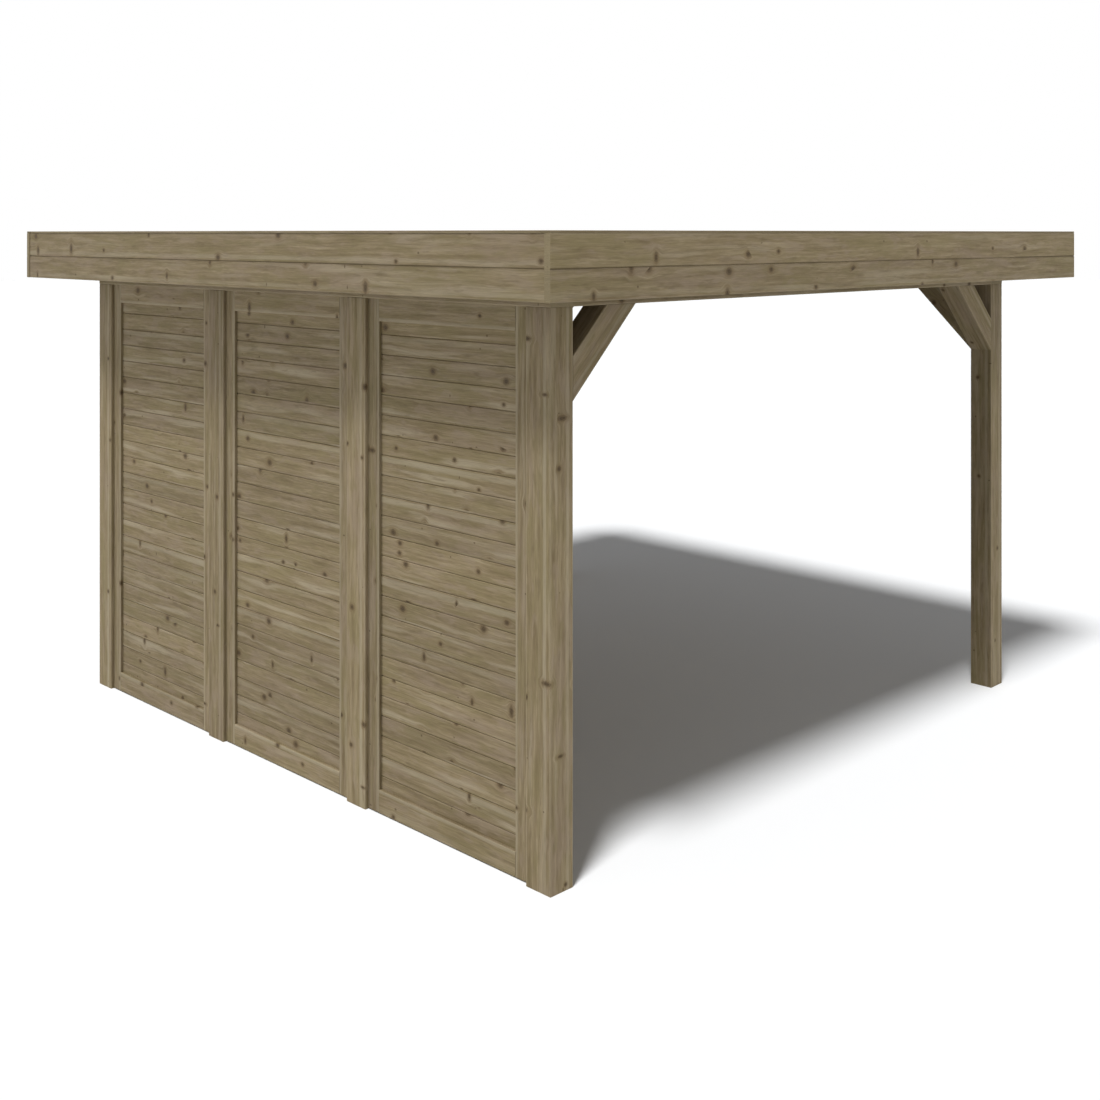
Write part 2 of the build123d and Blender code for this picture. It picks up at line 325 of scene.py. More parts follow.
def treated_pine():
    """Node group for impregnated pine seen on a timber's own place. Long streaks and growth rings are
    noise stretched along the grain, bent round the knots; the sawn ends show rings round the pith.
    Gives Colour, Roughness and Height in millimetres."""
    tree = bpy.data.node_groups.new("treated_pine", "ShaderNodeTree")
    face = tree.interface
    face.new_socket("Place", in_out="INPUT", socket_type="NodeSocketVector")
    for key, value in (("Tone", 0.5), ("End", 0.0), ("Wear_and_joint_shade", 0.0), ("Sap_and_highlight", 0.0), ("Knots", 0.5),
                       ("Bands", 0.5), ("Darkening", 0.0), ("Shift", 0.0), ("Draw", 1.0)):
        face.new_socket(key, in_out="INPUT", socket_type="NodeSocketFloat").default_value = value
    for key, kind in (("Colour", "Color"), ("Roughness", "Float"), ("Height", "Float")):
        face.new_socket(key, in_out="OUTPUT", socket_type="NodeSocket" + kind)
    given = tree.nodes.new("NodeGroupInput").outputs
    u, s, k = add(tree, "SeparateXYZ", {0: given["Place"]}).outputs
    k = calc(tree, "ADD", k, given["Shift"])
    place = (u, s, k)

    draw, share = given["Draw"], given["Knots"]
    pin_share = calc(tree, "MULTIPLY", share, 0.4)
    big, big_side, big_there = knot_layer(tree, place, draw, KNOT_CELL, KNOT_RADII, share, 0.0)
    pin, _, pin_there = knot_layer(tree, place, draw, PIN_KNOT_CELL, PIN_KNOT_RADII, pin_share, 40.0)
    # The grain sways, and bends round each knot.
    bend = calc(tree, "MULTIPLY", ease_between(tree, big, 3.6, 0.6), big_there)
    bent = calc(tree, "MULTIPLY_ADD", calc(tree, "MULTIPLY", big_side, bend), -0.7, s)
    sway = stretched_noise(tree, place, 2.2, 6.0, 11.0, 2.0)
    bent = calc(tree, "ADD", bent, calc(tree, "MULTIPLY_ADD", sway, 0.03, -0.015))
    grain = (u, bent, k)

    # Each noise has its blotches to the metre along and across, its shift, detail and roughness.
    streak = stretched_noise(tree, grain, 3.4, 55.0, 0.0, 6.0, 0.66)
    fibre = stretched_noise(tree, grain, 22.0, 700.0, 5.0, 2.0, 0.6)
    band = stretched_noise(tree, grain, 2.1, 30.0, 20.0, 1.5, 0.4)
    stain = stretched_noise(tree, grain, 9.0, 60.0, 66.0, 3.0, 0.6)
    arch = stretched_noise(tree, grain, 1.1, 6.0, 52.0, 1.0, 0.4)
    cloud = stretched_noise(tree, place, 2.6, 9.0, 31.0, 3.0, 0.55)
    patch = stretched_noise(tree, place, 8.0, 26.0, 88.0, 2.0, 0.6)
    ring_line = calc(tree, "ADD", bent, calc(tree, "MULTIPLY", arch, 0.06))
    ring_place = calc(tree, "MULTIPLY_ADD", ring_line, FACE_RINGS, k)
    ring = add(tree, "TexNoise", {"W": ring_place, "Scale": 1.0, "Detail": 1.0}, noise_dimensions="1D")

    ramp_node = add(tree, "ValToRGB", {0: streak})
    ramp = ramp_node.color_ramp
    while len(ramp.elements) < len(STREAKS):
        ramp.elements.new(0.5)
    for element, (spot, shade) in zip(ramp.elements, STREAKS):
        element.position = spot
        element.color = (*shade, 1.0)
    colour = ramp_node.outputs[0]
    for noise, low, high, most, shade in (
            (cloud, 0.50, 0.66, 0.55, OLIVE_CLOUD), (cloud, 0.48, 0.32, 0.55, ROSY_CLOUD),
            (patch, 0.52, 0.66, 0.45, OLIVE_PATCH), (patch, 0.46, 0.34, 0.45, ROSY_PATCH)):
        colour = blend_colour(tree, ease_between(tree, noise, low, high, 0.0, most), colour, shade)
    pale = calc(tree, "MULTIPLY", ease_between(tree, band, 0.54, 0.74), given["Bands"])
    colour = blend_colour(tree, pale, colour, PALE_BAND)
    late = ease_between(tree, ring.outputs["Fac"], 0.50, 0.66)
    shown = ease_between(tree, cloud, 0.30, 0.60, 0.04, 0.24)
    colour = blend_colour(tree, calc(tree, "MULTIPLY", late, shown), colour, LATE_WOOD)
    colour = blend_colour(tree, ease_between(tree, stain, 0.54, 0.74, 0.0, 0.42), colour, STAIN)
    # Worn arrises are a little paler than the faces beside them.
    flank = calc(tree, "SUBTRACT", 1.0, given["End"])
    worn = calc(tree, "MULTIPLY", ease_between(tree, given["Wear_and_joint_shade"], 0.25, 1.0, 0.0, 0.35), flank)
    colour = blend_colour(tree, worn, colour, WORN_EDGE)
    # Painted shade in the joints between boards, where the wear is below nought, stronger in some places.
    shade_patches = ease_between(tree, cloud, 0.38, 0.62, 0.22, 0.72)
    joint_shade = calc(tree, "MULTIPLY", ease_between(tree, given["Wear_and_joint_shade"], 0.0, -1.0), shade_patches)
    colour = blend_colour(tree, joint_shade, colour, JOINT_SHADE)
    # Sapwood runs down one side of a timber as a paler band that comes and goes along the grain. The
    # same band beside the inner edges of the panel frames is a painted highlight.
    fade = calc(tree, "ADD", calc(tree, "MULTIPLY", cloud, 1.1), calc(tree, "MULTIPLY", streak, 0.6))
    sap = calc(tree, "MULTIPLY", calc(tree, "MULTIPLY", given["Sap_and_highlight"], flank), fade)
    colour = blend_colour(tree, ease_between(tree, sap, 0.20, 1.00, 0.0, 0.52), colour, SAPWOOD_AND_HIGHLIGHT)

    halo = calc(tree, "MULTIPLY", ease_between(tree, big, 2.5, 0.7, 0.0, 0.55), big_there)
    colour = blend_colour(tree, halo, colour, KNOT_HALO)
    heart = calc(tree, "MULTIPLY", ease_between(tree, big, 1.15, 0.35), big_there)
    knot_rings = calc(tree, "SINE", calc(tree, "MULTIPLY", big, 14.0))
    knot = blend_colour(tree, calc(tree, "MULTIPLY_ADD", knot_rings, 0.5, 0.5), KNOT_DARK, KNOT_PALE)
    colour = blend_colour(tree, calc(tree, "MULTIPLY", heart, 0.93), colour, knot)
    rim = calc(tree, "ABSOLUTE", calc(tree, "SUBTRACT", big, 0.95))
    rim = calc(tree, "MULTIPLY", ease_between(tree, rim, 0.26, 0.04), big_there)
    colour = blend_colour(tree, calc(tree, "MULTIPLY", rim, 0.3), colour, KNOT_RIM)
    speck = calc(tree, "MULTIPLY", ease_between(tree, pin, 1.4, 0.5, 0.0, 0.7), pin_there)
    colour = blend_colour(tree, speck, colour, PIN_KNOT)

    # Sawn end: rings round a pith just off the section, roughened by the saw.
    pith = add(tree, "VectorMath", {0: given["Place"], 1: PITH}, operation="SUBTRACT").outputs[0]
    pith = add(tree, "SeparateXYZ", {0: pith}).outputs
    spread = hypotenuse(tree, pith[0], pith[1])
    saw_marks = stretched_noise(tree, place, 420.0, 420.0, 77.0, 2.0)
    waver = calc(tree, "MULTIPLY", saw_marks, 3.0)
    year = calc(tree, "SINE", calc(tree, "MULTIPLY_ADD", spread, END_RINGS, waver))
    sawn = blend_colour(tree, calc(tree, "MULTIPLY_ADD", year, 0.5, 0.5), SAWN_PALE, SAWN_DARK)
    sawn = blend_colour(tree, ease_between(tree, saw_marks, 0.4, 0.7, 0.0, 0.3), sawn, SAWN_DIRT)
    colour = blend_colour(tree, given["End"], colour, sawn)
    # Each timber is lighter or darker as a whole, with flecks along its fibres.
    fleck = ease_between(tree, fibre, 0.30, 0.75, -0.11, 0.11)
    lift = calc(tree, "ADD", fleck, calc(tree, "MULTIPLY_ADD", given["Tone"], 0.18, 0.90))
    grey = add(tree, "CombineXYZ", {0: lift, 1: lift, 2: lift}).outputs[0]
    colour = blend_colour(tree, 1.0, colour, grey, "MULTIPLY")
    # Darkening makes the whole timber darker, painted shade on the front and back trim laths.
    darkened = blend_colour(tree, 1.0, colour, DARK_TINT, "MULTIPLY")
    colour = blend_colour(tree, given["Darkening"], colour, darkened)

    height = calc(tree, "MULTIPLY_ADD", late, 0.10, calc(tree, "MULTIPLY", streak, 0.25))
    height = calc(tree, "ADD", height, calc(tree, "MULTIPLY", fibre, 0.08))
    height = calc(tree, "ADD", height, calc(tree, "MULTIPLY", heart, 0.12))
    height = calc(tree, "SUBTRACT", height, calc(tree, "MULTIPLY", rim, 0.18))
    saw_height = calc(tree, "MULTIPLY", saw_marks, given["End"])
    height = calc(tree, "ADD", height, calc(tree, "MULTIPLY", saw_height, 0.5))
    rough = calc(tree, "MULTIPLY_ADD", fibre, 0.16, 0.66)
    rough = calc(tree, "SUBTRACT", rough, calc(tree, "MULTIPLY", heart, 0.14))
    out = tree.nodes.new("NodeGroupOutput")
    for key, value in (("Colour", colour), ("Roughness", rough), ("Height", height)):
        tree.links.new(value, out.inputs[key])
    return tree


pine_group = treated_pine()


def pine(name, knots=0.5, bands=0.5, darkening=0.0, shift=0.0, draw=1.0):
    """Treated pine for one kind of timber, which reads the timber's own attributes. Knots and bands
    say how many there are, darkening how much darker the whole wood is made (on the front and back
    trim laths, painted shade), shift which stretch of the pattern it takes, and draw under 1 makes
    the knots longer."""
    material = bpy.data.materials.new(name)
    material.use_nodes = True
    tree = material.node_tree
    group = add(tree, "Group", node_tree=pine_group)
    for socket, attribute, output in (
            ("Place", "grain_place", "Vector"), ("Tone", "timber_tone", "Fac"), ("End", "sawn_end", "Fac"),
            ("Wear_and_joint_shade", "arris_wear_and_joint_shade", "Fac"), ("Sap_and_highlight", "sapwood_and_highlight", "Fac")):
        read = add(tree, "Attribute", attribute_name=attribute)
        tree.links.new(read.outputs[output], group.inputs[socket])
    for socket, value in (("Knots", knots), ("Bands", bands), ("Darkening", darkening), ("Shift", shift),
                          ("Draw", draw)):
        group.inputs[socket].default_value = value
    bump = add(tree, "Bump", {"Height": group.outputs["Height"], "Strength": 0.5, "Distance": 0.001})
    shader = tree.nodes["Principled BSDF"]
    shader.inputs["Specular IOR Level"].default_value = 0.3
    tree.links.new(group.outputs["Colour"], shader.inputs["Base Color"])
    tree.links.new(group.outputs["Roughness"], shader.inputs["Roughness"])
    tree.links.new(bump.outputs[0], shader.inputs["Normal"])
    return material


post_pine = pine("post_pine", bands=0.45)
for node in ("post_front_left", "post_wall_front", "post_wall_back", "post_back_left",
             "post_front_right", "post_back_right"):
    low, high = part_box(node)
    post = straight_timber(low, high, 2, POST_EASE, sap=0.9)
    fit_timbers(node + "_timber", [post], post_pine, node)


# Ring of beams
# Four 110 x 110 mm beams lie on the posts, flush with their outer faces. They are half-lapped
# over the corner posts, the front and back beams on top.
BEAM_EASE = 0.003


def lapped_beam(low, high, run, over):
    """A beam that fills its box, with its section halved in height at both ends: the upper half is
    kept where over is true, the lower half where it isn't. The halved rings stop at the shoulders."""
    low, high = np.asarray(low), np.asarray(high)
    a, b = (run + 1) % 3, (run + 2) % 3
    along, across = np.eye(3)[run], np.eye(3)[a]
    wide = high[a] - low[a] if a != 2 else high[b] - low[b]
    middle = (low[2] + high[2]) / 2
    whole = eased_ring(low[a], high[a], low[b], high[b], BEAM_EASE, sap=0.7)
    column = 0 if a == 2 else 1
    halved = whole.copy()
    halved[:, column] = (np.maximum if over else np.minimum)(halved[:, column], middle)
    length = high[run] - low[run]
    rings = [halved, halved, whole, whole, halved, halved]
    stations = [0.0, wide, wide, length - wide, length - wide, length]
    return carry(np.stack(rings), stations, along * low[run], along, across)


for axis, run, sides, shift in (("x", 0, ("front", "back"), 1.3), ("y", 1, ("left", "right"), 2.1)):
    beam_pine = pine("beam_pine_" + axis, bands=0.35, shift=shift)
    for side in sides:
        low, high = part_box("beam_" + side)
        beam = lapped_beam(low, high, run, over=run == 0)
        fit_timbers(f"beam_{side}_timber", [beam], beam_pine, "beam_" + side)


# Knee braces
# Six 110 x 110 mm braces at 45 degrees, two to each open side. Their ends are mitred flush against
# the post and the underside of the beam.
BRACE_EASE = 0.003


def knee_brace(low, high, run, rising):
    """A brace in the upright plane of axis run: a section carried at 45 degrees, with each end ring
    sheared so that it lies on the post's face or on the beam's underside. rising is 1 where the
    brace climbs towards higher run, -1 where it climbs the other way."""
    low, high = np.asarray(low), np.asarray(high)
    side = 1 - run
    wide = high[side] - low[side]
    along = (np.eye(3)[run] * rising + np.eye(3)[2]) / math.sqrt(2)
    across = np.eye(3)[side]
    foot = low.copy()
    foot[run] = low[run] if rising > 0 else high[run]
    foot[side] = 0.0
    # The section hangs from the brace's lower edge, whichever way its second axis points.
    up = 1.0 if np.cross(along, across)[2] > 0 else -1.0
    depth = (0.0, wide) if up > 0 else (-wide, 0.0)
    ring = eased_ring(low[side], high[side], depth[0], depth[1], BRACE_EASE, sap=0.8)
    raised = ring[:, 1] * up
    reach = (high[run] - low[run]) * math.sqrt(2)
    stations = np.stack([raised, np.full(len(ring), reach / 2), reach - raised])
    return carry(np.stack([ring] * 3), stations, foot, along, across)


for way, run, rising, places in (
        ("x_rising", 0, 1, ("front_left", "back_left")), ("x_falling", 0, -1, ("front_right", "back_right")),
        ("y_rising", 1, 1, ("right_front",)), ("y_falling", 1, -1, ("right_back",))):
    brace_pine = pine("brace_pine_" + way, bands=0.3, shift=3.0)
    for place in places:
        low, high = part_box("brace_" + place)
        brace = knee_brace(low, high, run, rising)
        fit_timbers(f"brace_{place}_timber", [brace], brace_pine, "brace_" + place)


# Panel frames
# Three frames of 45 mm pine stand between the wall posts: two stiles of 68 mm with two rails of
# 88 mm stub-tenoned into the groove that also takes the boards.
FRAME_EASE = 0.002
FRAME_FADE = 0.004
GROOVE_DEEP = 0.020
RAIL_WIDE = 0.088
RAIL_GROOVE_SPARE = 0.002
BOARD_RECESS = 0.012
BOARD_THICK = 0.018
# Knots in the boards and rails are a little longer than wide.
LONG_KNOTS = 0.76
panel_places = ("front", "middle", "back")


def turned_right(points):
    """Section points made anticlockwise, judged by the outline's signed area."""
    ring = np.asarray(points, float)
    following = np.roll(ring, -1, 0)
    area = np.sum(ring[:, 0] * following[:, 1] - following[:, 0] * ring[:, 1])
    return ring if area > 0 else ring[::-1].copy()


def swapped(section):
    """The section with its two axes exchanged."""
    return section[:, [1, 0, 2, 3]]


def grooved_section(outer, inner, x0, x1, deep):
    """Section of a stile or rail as (across, x, wear, sap): its grooved and eased edge is at inner,
    with a painted highlight beside it on both faces, a pale band carried in the sap column."""
    toward = math.copysign(1.0, inner - outer)
    board0 = x0 + BOARD_RECESS
    board1 = board0 + BOARD_THICK
    bottom = inner - toward * deep
    ease, reach = FRAME_EASE, WEAR_REACH
    fade = ease + FRAME_FADE
    points = [
        (outer, x0, 0.6, 0), (outer, x1, 0.6, 0),
        # A sap of 1 beside the eased inner edge paints a highlight there.
        (inner - toward * (ease + 3 * reach), x1, 0, 0), (inner - toward * (ease + reach), x1, 0, 1),
        (inner - toward * ease, x1, 1, 1), (inner, x1 - ease, 1, 0), (inner, x1 - fade, 0, 0),
        (inner, board1, 0.2, 0), (bottom, board1, 0, 0), (bottom, board0, 0, 0), (inner, board0, 0.2, 0),
        (inner, x0 + fade, 0, 0), (inner, x0 + ease, 1, 0), (inner - toward * ease, x0, 1, 1),
        (inner - toward * (ease + reach), x0, 0, 1), (inner - toward * (ease + 3 * reach), x0, 0, 0),
    ]
    return np.array(points, float)


stile_pine = pine("stile_pine", bands=0.4, darkening=0.10, shift=0.7)
rail_pine = pine("rail_pine", knots=0.55, bands=0.35, shift=4.2, draw=LONG_KNOTS)
for place in panel_places:
    low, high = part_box(f"panel_{place}_stiles")
    rail_low, rail_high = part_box(f"panel_{place}_rails")
    board_low, board_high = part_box(f"panel_{place}_boards")
    inner0, inner1 = rail_low[1] + GROOVE_DEEP, rail_high[1] - GROOVE_DEEP
    stiles = []
    for outer, inner in ((low[1], inner0), (high[1], inner1)):
        section = turned_right(swapped(grooved_section(outer, inner, low[0], high[0], GROOVE_DEEP)))
        stiles.append(carry(section, [0.0, high[2] - low[2]], (0, 0, low[2]), (0, 0, 1), (1, 0, 0)))
    fit_timbers(f"panel_{place}_stiles_timber", stiles, stile_pine, f"panel_{place}_stiles")
    rails = []
    for outer, inner, edge in ((rail_low[2], rail_low[2] + RAIL_WIDE, board_low[2]),
                               (rail_high[2], rail_high[2] - RAIL_WIDE, board_high[2])):
        deep = abs(inner - edge) + RAIL_GROOVE_SPARE
        section = turned_right(grooved_section(outer, inner, low[0], high[0], deep))
        rails.append(carry(section, [0.0, inner1 - inner0], (0, inner0, 0), (0, 1, 0), (0, 0, 1)))
    fit_timbers(f"panel_{place}_rails_timber", rails, rail_pine, f"panel_{place}_rails")


# Panel boards
# Twenty-four tongue and groove boards to a panel, 78 mm of cover and 18 mm thick, laid flat in the
# frame's grooves from the bottom rail up. Each joint shows a small vee on both faces.
BOARD_COVER = 0.0776
BOARD_VEE = 0.003
FACE_SPARE = 0.0001
JOINT_GAP = 0.0003
TONGUE = 0.006
TONGUE_SPARE = 0.001
TONGUE_PLAY = 0.0004
VEE_FADE = 0.005
# The pale band lies between these distances below the tongue's edge.
SAP_HIGH = 0.022
SAP_LOW = 0.036


def matched_board(cover, thick, vee_face, vee_back, sap=0.0):
    """Section of a tongue and groove board as (across, depth, wear, sap): the groove's edge is at
    across 0, the tongue stands past across = cover, and a vee bevels the joint's corners. A wear of -1
    in the joint is painted shade. The sap column holds a pale band on both faces below the tongue's edge."""
    groove0, groove1 = (thick - TONGUE) / 2, (thick + TONGUE) / 2
    tongue0, tongue1, tip = groove0 + TONGUE_PLAY, groove1 - TONGUE_PLAY, cover + TONGUE - TONGUE_SPARE
    points = [
        (vee_face, 0, 0.4, 0), (0, vee_face, -1, 0), (0, groove0, 0, 0), (TONGUE, groove0, 0, 0),
        (TONGUE, groove1, 0, 0), (0, groove1, 0, 0), (0, thick - vee_back, -1, 0),
        (vee_back, thick, 0.4, 0), (vee_back + VEE_FADE, thick, 0, 0), (cover - SAP_LOW, thick, 0, 0),
        (cover - SAP_HIGH, thick, 0, sap), (cover - vee_back - VEE_FADE, thick, 0, sap),
        (cover - vee_back, thick, 0.6, 0), (cover, thick - vee_back, -1, 0), (cover, tongue1, 0, 0),
        (tip, tongue1, 0, 0), (tip, tongue0, 0, 0),
        (cover, tongue0, 0, 0), (cover, vee_face, -1, 0), (cover - vee_face, 0, 0.6, 0),
        (cover - vee_face - VEE_FADE, 0, 0, sap), (cover - SAP_HIGH, 0, 0, sap), (cover - SAP_LOW, 0, 0, 0),
        (vee_face + VEE_FADE, 0, 0, 0),
    ]
    return np.array(points, float)


board_pine = pine("board_pine", knots=0.62, bands=0.7, darkening=0.07, shift=5.0, draw=LONG_KNOTS)
for place in panel_places:
    low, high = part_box(f"panel_{place}_boards")
    count = round((high[2] - low[2]) / BOARD_COVER)
    boards = []
    for k in range(count):
        sap = max(0.0, chance.uniform(-0.9, 1.0))
        thick = BOARD_THICK - 2 * FACE_SPARE
        section = matched_board(BOARD_COVER - JOINT_GAP, thick, BOARD_VEE, BOARD_VEE, sap)
        if k == count - 1:
            section[:, 0] = np.minimum(section[:, 0], BOARD_COVER)
        section = turned_right(section + [low[2] + k * BOARD_COVER, low[0] + FACE_SPARE, 0.0, 0.0])
        boards.append(carry(section, [0.0, high[1] - low[1]], (0, low[1], 0), (0, 1, 0), (0, 0, 1)))
    fit_timbers(f"panel_{place}_boards_laid", boards, board_pine, f"panel_{place}_boards")


# Joists and lookouts
# 45 x 95 mm pine on edge: two rim joists behind the fascia, six joists between them, and short
# lookouts from the first joist over the end beam to the rim.
JOIST_EASE = 0.002
JOIST_WIDE = 0.045
JOIST_SPACES = 7
LOOKOUTS = 5
joist_pine = pine("joist_pine", bands=0.3, shift=6.1)
lookout_pine = pine("lookout_pine", bands=0.3, shift=7.3)
for node in ("joist_rim_front", "joist_rim_back"):
    low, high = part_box(node)
    rim = straight_timber(low, high, 0, JOIST_EASE)
    fit_timbers(node + "_timber", [rim], joist_pine, node)
low, high = np.asarray(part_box("joist_rim_front"))
step = (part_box("joist_rim_back")[0][1] - low[1]) / JOIST_SPACES
joists = []
for k in range(1, JOIST_SPACES):
    shift = np.array([0.0, k * step, 0.0])
    joists.append(straight_timber(low + shift, high + shift, 0, JOIST_EASE))
fit_timbers("joists_timber", joists, joist_pine, "joists")
for side in ("front", "back"):
    low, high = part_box(f"lookouts_{side}")
    pitch = (high[0] - low[0] - JOIST_WIDE) / (LOOKOUTS - 1)
    lookouts = []
    for k in range(LOOKOUTS):
        x = low[0] + k * pitch
        corner = (x + JOIST_WIDE, high[1], high[2])
        lookouts.append(straight_timber((x, low[1], low[2]), corner, 1, JOIST_EASE))
    fit_timbers(f"lookouts_{side}_timber", lookouts, lookout_pine, f"lookouts_{side}")


# Roof deck
# Thirty tongue and groove boards, 19 mm thick and about 121 mm of cover, nailed across the joists
# with their bevelled faces down, so that the vees show from below.
DECK_BOARDS = 30
DECK_TOP_VEE = 0.0008
deck_pine = pine("deck_pine", knots=0.55, bands=0.4, shift=8.0)
low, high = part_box("roof_deck")
cover = (high[0] - low[0]) / DECK_BOARDS
deck = []
for k in range(DECK_BOARDS):
    section = matched_board(cover - JOINT_GAP, high[2] - low[2], BOARD_VEE, DECK_TOP_VEE)
    if k == DECK_BOARDS - 1:
        section[:, 0] = np.minimum(section[:, 0], cover)
    section = turned_right(swapped(section) + [low[2], low[0] + k * cover, 0.0, 0.0])
    deck.append(carry(section, [0.0, high[1] - low[1]], (0, low[1], 0), (0, 1, 0), (0, 0, 1)))
fit_timbers("roof_deck_laid", deck, deck_pine, "roof_deck")


# Fascia
# Two 27 mm boards high on every side, tongue and groove with a vee at the joint. The front and back
# boards run through and cover the ends of the side boards; they are nailed to the rim and joist ends.
FASCIA_THICK = 0.027
FASCIA_EASE = 0.002
FASCIA_VEE = 0.003
FASCIA_FADE = 0.004
FASCIA_TONGUE = 0.008
FASCIA_GROOVE_PLAY = 0.0002
# The foot and the head of a board's pale band, and where it has faded out, above the lower edge.
FASCIA_BAND = (0.012, 0.022, 0.036)
# Sapwood and paleness of the lower and upper boards: of the front and back, then of the two sides.
FASCIA_SAP = ((0.6, 0.2), (0.7, 0.75))
FASCIA_TONE = ((0.05, 0.53), (0.25, 0.40))


def fascia_section(z0, z1, upper, sap):
    """Section of a fascia board as (depth from its face, z, wear, sap). The lower board carries the
    tongue on its top edge, the upper board the groove in its bottom edge."""
    middle, half = FASCIA_THICK / 2, FASCIA_TONGUE / 2
    ease, vee, reach = FASCIA_EASE, FASCIA_VEE, WEAR_REACH
    foot, head, faded = (z0 + rise for rise in FASCIA_BAND)
    band = [(0, foot, 0, sap), (0, head, 0, sap), (0, faded, 0, 0)]
    # A wear below nought beside the vee at the joint is painted shade.
    if upper:
        top, half = z0 + FASCIA_TONGUE + 2 * FASCIA_GROOVE_PLAY, half + FASCIA_GROOVE_PLAY
        points = [(vee, z0, -1, 0), (0, z0 + vee, -0.6, 0), (0, z0 + vee + FASCIA_FADE, 0, 0)] + band + [
            (0, z1 - ease - reach, 0, 0), (0, z1 - ease, 1, 0), (ease, z1, 1, 0),
            (FASCIA_THICK, z1, 0, 0), (FASCIA_THICK, z0, 0, 0), (middle + half, z0, 0, 0),
            (middle + half, top, 0, 0), (middle - half, top, 0, 0), (middle - half, z0, 0, 0),
        ]
    else:
        top = z1 + FASCIA_TONGUE
        points = [(ease, z0, 1, 0), (0, z0 + ease, 1, 0), (0, z0 + ease + FASCIA_FADE, 0, 0)] + band + [
            (0, z1 - vee - reach, 0, 0), (0, z1 - vee, -0.6, 0), (vee, z1, -1, 0), (middle - half, z1, 0, 0),
            (middle - half, top, 0, 0), (middle + half, top, 0, 0),
            (middle + half, z1, 0, 0), (FASCIA_THICK, z1, 0, 0), (FASCIA_THICK, z0, 0, 0),
        ]
    return np.array(points, float)


fascia_pines = (pine("fascia_pine_x", bands=0.4, darkening=0.08, shift=9.0, draw=LONG_KNOTS),
                pine("fascia_pine_y", bands=0.4, darkening=0.14, shift=10.0, draw=LONG_KNOTS))
for side, run, outward in (("front", 0, -1), ("back", 0, 1), ("left", 1, -1), ("right", 1, 1)):
    along, across = np.eye(3)[run], 1 - run
    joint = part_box(f"fascia_{side}_upper")[0][2]
    for upper, level in enumerate(("lower", "upper")):
        node = f"fascia_{side}_{level}"
        low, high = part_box(node)
        section = fascia_section(low[2], high[2] if upper else joint, upper, FASCIA_SAP[run][upper])
        face = low[across] if outward < 0 else high[across]
        section[:, 0] = face - outward * section[:, 0]
        ring = turned_right(section if run == 0 else swapped(section))
        board = carry(ring, [0.0, high[run] - low[run]], along * low[run], along, np.eye(3)[run + 1])
        board["tone"] = FASCIA_TONE[run][upper]
        fit_timbers(node + "_timber", [board], fascia_pines[run], node)


# Top trim
# A 9 x 45 mm pine lath nailed along the fascia's top edge on every side, hiding the edge of the
# roofing. The laths at the front and back are painted darker than those at the sides, as painted shade.
TRIM_EASE = 0.0015
# The front and back laths are darkened far more than the side ones: painted shade on their faces.
trim_pines = (pine("trim_pine_x", knots=0.35, bands=0.5, darkening=0.9, shift=11.0),
              pine("trim_pine_y", knots=0.35, bands=0.5, darkening=0.3, shift=12.0))
for side, run in (("front", 0), ("back", 0), ("left", 1), ("right", 1)):
    low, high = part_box(f"trim_{side}")
    trim = straight_timber(low, high, run, TRIM_EASE)
    fit_timbers(f"trim_{side}_timber", [trim], trim_pines[run], f"trim_{side}")


# Roofing membrane
# One dark rubber sheet bonded to the deck. A strip of the same sheet, welded on along its edge, turns
# up behind the fascia and ends under the top trim.
RUBBER_DARK, RUBBER_DUSTY = (0.032, 0.033, 0.034), (0.060, 0.058, 0.054)
UPSTAND_THICK = 0.0015
UPSTAND_FOOT = 0.045
UPSTAND_SKIN = 0.0005
UPSTAND_SPARE = 0.0003
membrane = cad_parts["roof_membrane"]
rubber = bpy.data.materials.new("roofing_rubber")
rubber.use_nodes = True
tree = rubber.node_tree
where = add(tree, "TexCoord").outputs["Object"]
dust = add(tree, "TexNoise", {"Vector": where, "Scale": 3.2, "Detail": 8.0, "Roughness": 0.7}).outputs["Fac"]
pebble = add(tree, "TexNoise", {"Vector": where, "Scale": 420.0, "Detail": 2.0}).outputs["Fac"]
dusty = blend_colour(tree, ease_between(tree, dust, 0.35, 0.75), RUBBER_DARK, RUBBER_DUSTY)
bump = add(tree, "Bump", {"Height": pebble, "Strength": 0.3, "Distance": 0.0006})
shader = tree.nodes["Principled BSDF"]
shader.inputs["Specular IOR Level"].default_value = 0.35
tree.links.new(dusty, shader.inputs["Base Color"])
tree.links.new(ease_between(tree, dust, 0.3, 0.7, 0.76, 0.86), shader.inputs["Roughness"])
tree.links.new(bump.outputs[0], shader.inputs["Normal"])
membrane.data.materials.clear()
membrane.data.materials.append(rubber)

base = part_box("roof_membrane")[1][2]
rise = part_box("trim_front")[0][2] - base - UPSTAND_SPARE
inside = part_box("fascia_right_upper")[0][0] - UPSTAND_SKIN
# The strip's section as (distance in from the fascia, height), with a fillet in its bend.
profile = np.array([
    (0.0, rise), (UPSTAND_THICK, rise), (UPSTAND_THICK + 0.0004, 0.0060), (0.0055, 0.0020),
    (UPSTAND_FOOT, UPSTAND_THICK), (UPSTAND_FOOT, 0.0), (0.0, 0.0),
])
